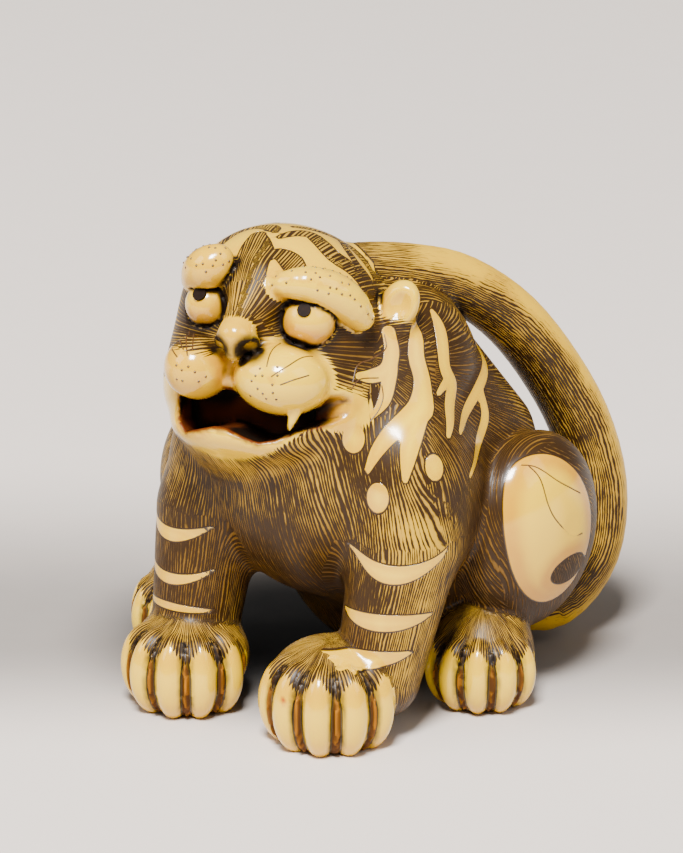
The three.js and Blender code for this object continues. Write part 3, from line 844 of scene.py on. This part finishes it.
def noise(tree, vector, scale, detail=2.0, rough=0.5):
    node = tree.nodes.new("ShaderNodeTexNoise")
    feed(tree, node.inputs["Vector"], vector)
    node.inputs["Scale"].default_value = scale
    node.inputs["Detail"].default_value = detail
    node.inputs["Roughness"].default_value = rough
    return node.outputs["Fac"]


def startMaterial(name):
    material = bpy.data.materials.new(name)
    material.use_nodes = True
    return material, material.node_tree, material.node_tree.nodes["Principled BSDF"]


# deep is the near black laid as painted shade: with the stain in creases, in the nostrils, round the eyes
# and far inside the mouth
ivoryLook = {
    "pale": (250, 207, 4), "warm": (212, 150, 0), "hair": (168, 126, 38), "gap": (186, 118, 6),
    "brown": (82, 48, 16), "ink": (48, 29, 6), "deep": (20, 10, 4), "mouth": (92, 40, 8),
    "fleck": (168, 52, 22),
    "lineWidth": 0.07, "cutDepth": 0.00005, "cutStrength": 0.8, "cloudScale": 260, "speckleScale": 1100,
    "roughness": 0.17, "dullRoughness": 0.38, "shine": 0.5, "dullShine": -0.4, "ior": 1.5,
    "polish": 0.7, "coatRoughness": 0.12, "subsurface": 0.06, "scatter": (0.001, 0.0005, 0.0002),
    # how ragged the edges are, where one run of hair gives way to another, and how dark hair is drawn
    "ragged": 0.8, "seam": (0.42, 0.58), "stainAndShadeLevel": 0.48, "stainAndShadeMost": 1.06, "cloudLevel": 0.5,
    "levelDrop": 0.13, "lineSoft": 0.07, "fringe": (0.52, 1.7), "fringeSoft": 0.12, "bandSoft": 0.02,
    # from and to which stain and painted shade, hollow or distance each tint comes in, and how much of it
    "tan": (0.1, 0.95, 0.15, 0.9), "browned": (0.98, 1.4, 0.0, 0.75), "gapAt": (0.0, -0.08),
    "gapShade": (0.0, 0.8), "gapLine": (0.09, 0.03), "gapInk": 0.9, "creaseShadeAndStain": (0.35, 0.95),
    "grooveRagged": 0.4, "mouthShade": (0.5, 0.95), "furDull": 0.6,
}
# millimetres from line to line, how stretched the strands are, how far they wander, and each one's share
hairLook = {"pitch": 0.18, "along": 0.17, "strandScale": 5.5, "swayScale": 0.8, "sway": 5.0,
            "waveShare": 0.75, "strandShare": 0.65}


def hairLines(tree, name, jitter):
    # low in the cut lines, high on the hair between them; lines double where they have spread too far
    split = tree.nodes.new("ShaderNodeSeparateXYZ")
    tree.links.new(read(tree, name, "Vector"), split.inputs[0])
    sideways, spread, run = split.outputs
    octave = calc(tree, "ADD", calc(tree, "LOGARITHM", calc(tree, "MAXIMUM", spread, 0.1), 2.0), jitter)
    sideways = calc(tree, "MULTIPLY", sideways, calc(tree, "POWER", 2.0, calc(tree, "FLOOR", octave)))
    place = tree.nodes.new("ShaderNodeCombineXYZ")
    feed(tree, place.inputs[0], sideways)
    feed(tree, place.inputs[1], calc(tree, "MULTIPLY", run, hairLook["along"]))
    strands = noise(tree, place.outputs[0], hairLook["strandScale"], 2.0, 0.6)
    sway = noise(tree, place.outputs[0], hairLook["swayScale"], 1.0, 0.5)
    sway = calc(tree, "MULTIPLY", sway, hairLook["sway"])
    wave = calc(tree, "ADD", calc(tree, "DIVIDE", sideways, hairLook["pitch"]), sway)
    wave = calc(tree, "ABSOLUTE", calc(tree, "SUBTRACT", calc(tree, "FRACT", wave), 0.5))
    wave = calc(tree, "MULTIPLY", wave, hairLook["waveShare"])
    return calc(tree, "ADD", wave, calc(tree, "MULTIPLY", strands, hairLook["strandShare"]))


def ivoryMaterial():
    material, tree, shader = startMaterial("stainedIvory")
    look = ivoryLook
    place = tree.nodes.new("ShaderNodeTexCoord").outputs["Object"]
    reserve, bareEdge, stainAndShade = read(tree, "reserve"), read(tree, "bareEdge"), read(tree, "stainAndShade")
    amber, fineHollow, wideHollow = read(tree, "amber"), read(tree, "fineHollow"), read(tree, "wideHollow")
    gapEdge, mouthDepth = read(tree, "gapEdge"), read(tree, "mouthDepth")
    cloud = noise(tree, place, look["cloudScale"], 3.0, 0.55)
    speckle = noise(tree, place, look["speckleScale"], 2.0, 0.5)
    ragged = calc(tree, "MULTIPLY", calc(tree, "SUBTRACT", speckle, 0.5), look["ragged"])
    front, side, own = (hairLines(tree, name, ragged) for name in ("frontHair", "sideHair", "ownHair"))
    toSide = fade(tree, calc(tree, "ADD", read(tree, "sideMask"), ragged), *look["seam"])
    streak = mixedValue(tree, toSide, front, side)
    toOwn = fade(tree, calc(tree, "ADD", read(tree, "ownMask"), ragged), *look["seam"])
    streak = mixedValue(tree, toOwn, streak, own)

    # hair: dark where the streak falls under a level that rises with the stain and the painted shade
    level = calc(tree, "MULTIPLY", cloud, look["cloudLevel"])
    heldStainAndShade = calc(tree, "MINIMUM", stainAndShade, look["stainAndShadeMost"])
    level = calc(tree, "MULTIPLY_ADD", heldStainAndShade, look["stainAndShadeLevel"], level)
    level = calc(tree, "SUBTRACT", level, look["levelDrop"])
    lines = fade(tree, calc(tree, "SUBTRACT", level, streak), -look["lineSoft"], look["lineSoft"])

    # bare ivory: inside the drawn bands, and with a fringe of hair round the polished parts
    fringeMiddle, fringeReach = look["fringe"]
    fringe = calc(tree, "MULTIPLY", calc(tree, "SUBTRACT", fringeMiddle, streak), fringeReach)
    bareSmooth = fade(tree, calc(tree, "ADD", bareEdge, fringe), look["fringeSoft"], -look["fringeSoft"])
    bareBand = fade(tree, reserve, look["bandSoft"], -look["bandSoft"])
    bare = calc(tree, "MAXIMUM", bareSmooth, bareBand)
    edge = fade(tree, calc(tree, "ABSOLUTE", reserve), look["lineWidth"], look["lineWidth"] * 0.35)
    edge = calc(tree, "MULTIPLY", edge, calc(tree, "SUBTRACT", 1.0, bareSmooth))

    warmth = calc(tree, "MULTIPLY", amber, calc(tree, "ADD", 0.45, cloud))
    ivory = mixed(tree, warmth, tint(*look["pale"]), tint(*look["warm"]))
    tan = fade(tree, calc(tree, "ADD", stainAndShade, calc(tree, "SUBTRACT", cloud, 0.5)), *look["tan"])
    hair = mixed(tree, tan, ivory, tint(*look["hair"]))
    hair = mixed(tree, fade(tree, stainAndShade, *look["browned"]), hair, tint(*look["brown"]))
    furColour = mixed(tree, lines, hair, tint(*look["ink"]))
    colour = mixed(tree, bare, furColour, ivory)
    colour = mixed(tree, edge, colour, tint(*look["ink"]))
    inGap = calc(tree, "MULTIPLY", fade(tree, gapEdge, *look["gapAt"]), bareSmooth)
    # painted shade: the amber in each toe gap turns brown where the gap is deepest
    gapShade = fade(tree, fineHollow, *look["gapShade"])
    gapColour = mixed(tree, gapShade, tint(*look["gap"]), tint(*look["brown"]))
    colour = mixed(tree, inGap, colour, gapColour)
    gapLine = fade(tree, calc(tree, "ABSOLUTE", gapEdge), *look["gapLine"])
    colour = mixed(tree, calc(tree, "MULTIPLY", gapLine, look["gapInk"]), colour, tint(*look["ink"]))
    # painted shade with the stain gathered there: creases and deep hollows darken towards near black, less
    # so in the toe gaps
    creaseShadeAndStain = calc(tree, "ADD", fineHollow, calc(tree, "MULTIPLY", ragged, look["grooveRagged"]))
    creaseShadeAndStain = fade(tree, creaseShadeAndStain, *look["creaseShadeAndStain"])
    besideGap = calc(tree, "SUBTRACT", 1.0, calc(tree, "MULTIPLY", inGap, 0.75))
    creaseShadeAndStain = calc(tree, "MULTIPLY", creaseShadeAndStain, besideGap)
    colour = mixed(tree, creaseShadeAndStain, colour, tint(*look["deep"]))
    colour = mixed(tree, read(tree, "shade"), colour, tint(*look["deep"]))
    # painted shade: the mouth's red-brown turns near black further in
    mouthShade = fade(tree, wideHollow, *look["mouthShade"])
    inside = mixed(tree, mouthShade, tint(*look["mouth"]), tint(*look["deep"]))
    colour = mixed(tree, mouthDepth, colour, inside)
    colour = mixed(tree, read(tree, "fleck"), colour, tint(*look["fleck"]))
    tree.links.new(colour, shader.inputs["Base Color"])

    furOnly = calc(tree, "MULTIPLY", lines, calc(tree, "SUBTRACT", 1.0, bare))
    cut = calc(tree, "MAXIMUM", furOnly, calc(tree, "MAXIMUM", edge, gapLine))
    bump = tree.nodes.new("ShaderNodeBump")
    bump.invert = True
    bump.inputs["Strength"].default_value = look["cutStrength"]
    bump.inputs["Distance"].default_value = look["cutDepth"]
    tree.links.new(cut, bump.inputs["Height"])
    tree.links.new(bump.outputs[0], shader.inputs["Normal"])
    dull = calc(tree, "MULTIPLY", calc(tree, "SUBTRACT", 1.0, bare), look["furDull"])
    for other in (creaseShadeAndStain, mouthDepth, inGap, read(tree, "shade")):
        dull = calc(tree, "MAXIMUM", dull, other)
    roughness = calc(tree, "MULTIPLY_ADD", dull, look["dullRoughness"], look["roughness"])
    shine = calc(tree, "MULTIPLY_ADD", dull, look["dullShine"], look["shine"])
    polish = calc(tree, "SUBTRACT", look["polish"], calc(tree, "MULTIPLY", dull, look["polish"]))
    tree.links.new(roughness, shader.inputs["Roughness"])
    tree.links.new(shine, shader.inputs["Specular IOR Level"])
    tree.links.new(calc(tree, "MULTIPLY", bare, polish), shader.inputs["Coat Weight"])
    shader.inputs["IOR"].default_value = look["ior"]
    shader.inputs["Coat Roughness"].default_value = look["coatRoughness"]
    shader.inputs["Subsurface Weight"].default_value = look["subsurface"]
    shader.inputs["Subsurface Radius"].default_value = look["scatter"]
    shader.inputs["Subsurface Scale"].default_value = 1.0
    return material


# dark and light tint, grain, roughness and shine of the small dark parts
darkLooks = {
    "darkHorn": ((14, 9, 7), (34, 22, 16), 3000, 0.5, 0.04),
    "inkStain": ((38, 22, 8), (104, 66, 26), 2500, 0.35, 0.5),
}


def darkMaterial(name):
    dark, light, scale, roughness, shine = darkLooks[name]
    material, tree, shader = startMaterial(name)
    grain = noise(tree, tree.nodes.new("ShaderNodeTexCoord").outputs["Object"], scale)
    tree.links.new(mixed(tree, grain, tint(*dark), tint(*light)), shader.inputs["Base Color"])
    shader.inputs["Roughness"].default_value = roughness
    shader.inputs["Specular IOR Level"].default_value = shine
    return material


tiger.data.materials.append(ivoryMaterial())
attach(tiger, "root")
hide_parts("tiger")
horn = darkMaterial("darkHorn")
for name in ("left_pupil", "right_pupil"):
    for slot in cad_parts[name].material_slots:
        slot.material = horn
print("materials set")

# Stained pricks and cut lines stand as small pieces of their own, sunk in the ivory.
markValues = {
    "prickRadius": 0.085, "pricksApart": 0.36, "pricksPerArea": 6.0, "pricksSunk": 0.03,
    "browShare": 0.75, "padShare": 0.95, "seed": 4, "edge": 0.03,
    "pads": ((1.9, 1.0, -2.7, -0.7), (-2.8, 0.95, -2.5, -1.3)),   # across, half width, foot and top
    "lineRadius": 0.05, "sunk": 0.022, "stepsPerPoint": 6, "sides": 6,
}
# across, forward and up in the head's axes for whiskers, the carving's own for the thigh
whiskerRoutes = (
    ((1.9, -7.8, -0.8), (1.8, -7.0, 0.1), (1.9, -5.8, 0.7)),
    ((2.3, -8.0, -1.3), (3.1, -7.7, -0.5), (3.7, -6.6, 0.2), (4.1, -5.7, 0.4)),
    ((2.9, -8.0, -1.7), (3.6, -7.8, -1.3), (4.3, -7.0, -0.9)),
    ((-4.3, -5.0, 0.5), (-3.7, -6.4, 0.0), (-3.1, -7.8, -0.8)),
    ((-3.7, -5.5, 0.7), (-3.3, -6.5, 0.3), (-2.9, -7.6, -0.4)),
    ((-4.3, -6.4, 0.1), (-3.5, -7.5, -0.5)),
    ((-4.6, -7.0, -0.5), (-3.8, -7.7, -1.0)),
    ((6.0, -3.6, -1.5), (6.2, -3.2, -1.0), (6.5, -2.8, -0.8), (7.1, -2.0, -0.7)),
    ((7.4, -2.0, -1.1), (7.6, -2.1, -1.8), (7.5, -2.4, -2.6), (7.2, -2.8, -3.3)),
    ((6.8, -0.9, 1.9), (7.1, -1.2, 1.1), (6.6, -2.1, 0.4), (6.0, -3.0, -0.1), (6.0, -3.5, -1.1)),
)
thighRoutes = (
    ((10.3, 11.0, 15.4), (10.9, 11.7, 15.2), (11.7, 12.8, 14.2), (12.0, 14.0, 13.4), (12.0, 14.8, 12.9)),
    ((10.6, 11.3, 15.4), (11.3, 11.6, 14.6), (11.9, 11.7, 13.0), (12.1, 12.3, 11.8), (12.3, 13.7, 10.5),
     (12.2, 14.9, 10.3)),
)


def startTree(name, inputs):
    tree = bpy.data.node_groups.new(name, "GeometryNodeTree")
    tree.interface.new_socket("Geometry", in_out="INPUT", socket_type="NodeSocketGeometry")
    for label, value in inputs.items():
        kind = "NodeSocketInt" if isinstance(value, int) else "NodeSocketFloat"
        tree.interface.new_socket(label, in_out="INPUT", socket_type=kind)
    tree.interface.new_socket("Geometry", in_out="OUTPUT", socket_type="NodeSocketGeometry")
    return tree, tree.nodes.new("NodeGroupInput")


def endTree(tree, geometry, material):
    realize = tree.nodes.new("GeometryNodeRealizeInstances")
    finish = tree.nodes.new("GeometryNodeSetMaterial")
    finish.inputs["Material"].default_value = material
    tree.links.new(geometry, realize.inputs[0])
    tree.links.new(realize.outputs[0], finish.inputs["Geometry"])
    tree.links.new(finish.outputs[0], tree.nodes.new("NodeGroupOutput").inputs[0])


def grown(name, mesh, tree, inputs):
    piece = bpy.data.objects.new(name, mesh)
    bpy.context.scene.collection.objects.link(piece)
    modifier = piece.modifiers.new("marks", "NODES")
    modifier.node_group = tree
    for socket in tree.interface.items_tree:
        if socket.in_out == "INPUT" and socket.name in inputs:
            modifier[socket.identifier] = inputs[socket.name]
    grownMesh = bpy.data.meshes.new_from_object(piece.evaluated_get(bpy.context.evaluated_depsgraph_get()))
    piece.modifiers.clear()
    piece.data = grownMesh
    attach(piece, "root")
    print(name, len(grownMesh.polygons), "faces")


def prickTree(inputs, material):
    tree, start = startTree("pricks", inputs)
    scatter = tree.nodes.new("GeometryNodeDistributePointsOnFaces")
    scatter.distribute_method = "POISSON"
    share = tree.nodes.new("GeometryNodeInputNamedAttribute")
    share.inputs["Name"].default_value = "share"
    ball = tree.nodes.new("GeometryNodeMeshIcoSphere")
    ball.inputs["Subdivisions"].default_value = 2
    place = tree.nodes.new("GeometryNodeInstanceOnPoints")
    tree.links.new(start.outputs["Geometry"], scatter.inputs["Mesh"])
    tree.links.new(start.outputs["Apart"], scatter.inputs["Distance Min"])
    tree.links.new(start.outputs["Density"], scatter.inputs["Density Max"])
    tree.links.new(start.outputs["Seed"], scatter.inputs["Seed"])
    tree.links.new(share.outputs["Attribute"], scatter.inputs["Density Factor"])
    tree.links.new(start.outputs["Radius"], ball.inputs["Radius"])
    tree.links.new(scatter.outputs["Points"], place.inputs["Points"])
    tree.links.new(ball.outputs["Mesh"], place.inputs["Instance"])
    endTree(tree, place.outputs["Instances"], material)
    return tree


def lineTree(inputs, material):
    tree, start = startTree("cutLines", inputs)
    curve = tree.nodes.new("GeometryNodeMeshToCurve")
    ring = tree.nodes.new("GeometryNodeCurvePrimitiveCircle")
    ring.inputs["Resolution"].default_value = markValues["sides"]
    tube = tree.nodes.new("GeometryNodeCurveToMesh")
    tube.inputs["Fill Caps"].default_value = True
    tree.links.new(start.outputs["Geometry"], curve.inputs["Mesh"])
    tree.links.new(start.outputs["Radius"], ring.inputs["Radius"])
    tree.links.new(curve.outputs["Curve"], tube.inputs["Curve"])
    tree.links.new(ring.outputs["Curve"], tube.inputs["Profile Curve"])
    endTree(tree, tube.outputs["Mesh"], material)
    return tree


def sunkIn(points):
    points = onto(tigerForm, points, 4)
    slope = slopeOf(tigerForm, points)
    return points - slope / np.linalg.norm(slope, axis=1, keepdims=True) * markValues["sunk"]


stainInk = darkMaterial("inkStain")
middle = face[quads].mean(1)
up = normals[quads].mean(1) @ headTurn
brow, pad = browMass[quads].mean(1), padMass[quads].mean(1)
facingUp = (up[:, 1] * -0.5 + up[:, 2] > 0.1) & (up[:, 1] < 0.2)
onBrow = (brow < markValues["edge"]) & facingUp & (isHead[quads].mean(1) > 0.8)
inside = [(np.abs(middle[:, 0] - across) < half) & (middle[:, 2] < top) & (middle[:, 2] > foot)
          for across, half, foot, top in markValues["pads"]]
onPad = (pad < markValues["edge"]) & np.any(inside, 0) & (up[:, 1] < -0.3)
chosen = quads[onBrow | onPad]
share = np.where(onBrow, markValues["browShare"], markValues["padShare"])[onBrow | onPad]
used, renumbered = np.unique(chosen, return_inverse=True)
patch = bpy.data.meshes.new("prickedParts")
sunkSpots = (skin[used] - normals[used] * markValues["pricksSunk"] + frameShift) / 1000
patchFaces = [tuple(int(i) for i in corners) for corners in renumbered.reshape(-1, 4)]
patch.from_pydata([tuple(spot) for spot in sunkSpots], [], patchFaces)
patch.attributes.new("share", "FLOAT", "FACE").data.foreach_set("value", share.astype(np.float32))
inputs = {"Radius": markValues["prickRadius"] / 1000, "Apart": markValues["pricksApart"] / 1000,
          "Density": markValues["pricksPerArea"] * 1e6, "Seed": markValues["seed"]}
grown("pricked_dots", patch, prickTree(inputs, stainInk), inputs)

spots, links = [], []
radius = markValues["lineRadius"]
for route in whiskerRoutes + thighRoutes:
    line = smoothCurve(route, markValues["stepsPerPoint"] * len(route))
    line = sunkIn(fromHead(line) if route in whiskerRoutes else line)
    line = np.clip(line, low + radius, high - radius) + frameShift
    links += [(len(spots) + i, len(spots) + i + 1) for i in range(len(line) - 1)]
    spots += [tuple(spot) for spot in line / 1000]
routes = bpy.data.meshes.new("routes")
routes.from_pydata(spots, links, [])
inputs = {"Radius": radius / 1000}
grown("ink_lines", routes, lineTree(inputs, stainInk), inputs)
print("marks grown")


# Camera, floor and light. The aim is in the carving's own axes.
def direction(azimuth, elevation):
    a, e = math.radians(azimuth), math.radians(elevation)
    return Vector((math.sin(a) * math.cos(e), -math.cos(a) * math.cos(e), math.sin(e)))


viewValues = {"azimuth": 38, "elevation": 19, "aim": (2.641, 3.179, 18.36), "distance": 300, "lens": 211}
backward = direction(viewValues["azimuth"], viewValues["elevation"])
camera = bpy.data.objects.new("camera", bpy.data.cameras.new("camera"))
camera.data.lens = viewValues["lens"]
camera.data.clip_start = 0.01
aim = Vector(viewValues["aim"]) + Vector(frameShift)
camera.location = (aim + backward * viewValues["distance"]) / 1000
camera.rotation_euler = backward.to_track_quat("Z", "Y").to_euler()
bpy.context.scene.collection.objects.link(camera)
bpy.context.scene.camera = camera

# The paper sweeps through a soft band of shade behind the carving.
floorValues = {
    "size": 12, "colour": (220, 208, 198), "roughness": 0.8, "grainScale": 400, "grain": 0.03,
    # place away from the camera in millimetres, and brightness
    "band": ((-60, 1.0), (-16, 1.0), (3, 0.39), (9, 0.39), (40, 0.98), (400, 1.0)),
    # the shade under the carving: its middle, then reach and brightness, in metres
    "middle": (-0.005, 0.001, 0), "under": (0.007, 0.017, 0.06, 1.0),
}


def paperMaterial(look):
    material, tree, shader = startMaterial("palePaper")
    place = tree.nodes.new("ShaderNodeTexCoord").outputs["Object"]
    away = tree.nodes.new("ShaderNodeVectorMath")
    away.operation = "DOT_PRODUCT"
    tree.links.new(place, away.inputs[0])
    azimuth = math.radians(viewValues["azimuth"])
    away.inputs[1].default_value = (-math.sin(azimuth), math.cos(azimuth), 0)
    shade = look["band"][0][1]
    for (near, bright), (far, nextBright) in zip(look["band"], look["band"][1:]):
        part = fade(tree, away.outputs["Value"], near / 1000, far / 1000, 0.0, nextBright - bright)
        shade = calc(tree, "ADD", shade, part)
    under = tree.nodes.new("ShaderNodeVectorMath")
    under.operation = "DISTANCE"
    tree.links.new(place, under.inputs[0])
    under.inputs[1].default_value = look["middle"]
    shade = calc(tree, "MULTIPLY", shade, fade(tree, under.outputs["Value"], *look["under"]))
    grain = calc(tree, "SUBTRACT", noise(tree, place, look["grainScale"], 3.0), 0.5)
    shade = calc(tree, "ADD", shade, calc(tree, "MULTIPLY", grain, look["grain"]))
    colour = mixed(tree, shade, (0, 0, 0, 1), tint(*look["colour"]))
    tree.links.new(colour, shader.inputs["Base Color"])
    shader.inputs["Roughness"].default_value = look["roughness"]
    return material


bpy.ops.mesh.primitive_plane_add(size=floorValues["size"])
floor = bpy.context.object
floor.name = "floor"
floor.data.materials.append(paperMaterial(floorValues))

# azimuth, elevation, distance, size and power of each soft box, and what they point at
lightValues = {
    "keyLight": (26, 60, 0.9, 0.24, 24.5),
    "fillLight": (100, 40, 0.6, 0.35, 0.7),
    "leftLight": (-40, 35, 0.6, 0.3, 1.0),
}
lightAim = Vector((0, 0, 0.012))
for name, (azimuth, elevation, distance, size, power) in lightValues.items():
    light = bpy.data.objects.new(name, bpy.data.lights.new(name, "AREA"))
    outward = direction(azimuth, elevation)
    light.data.shape = "RECTANGLE"
    light.data.size, light.data.size_y = size, size
    light.data.energy = power
    light.location = lightAim + outward * distance
    light.rotation_euler = outward.to_track_quat("Z", "Y").to_euler()
    bpy.context.scene.collection.objects.link(light)

worldValues = {"colour": (0.86, 0.85, 0.84, 1), "strength": 0.3}
world = bpy.data.worlds.new("studio")
world.use_nodes = True
background = world.node_tree.nodes["Background"]
background.inputs["Color"].default_value = worldValues["colour"]
background.inputs["Strength"].default_value = worldValues["strength"]
bpy.context.scene.world = world
print("stage set")
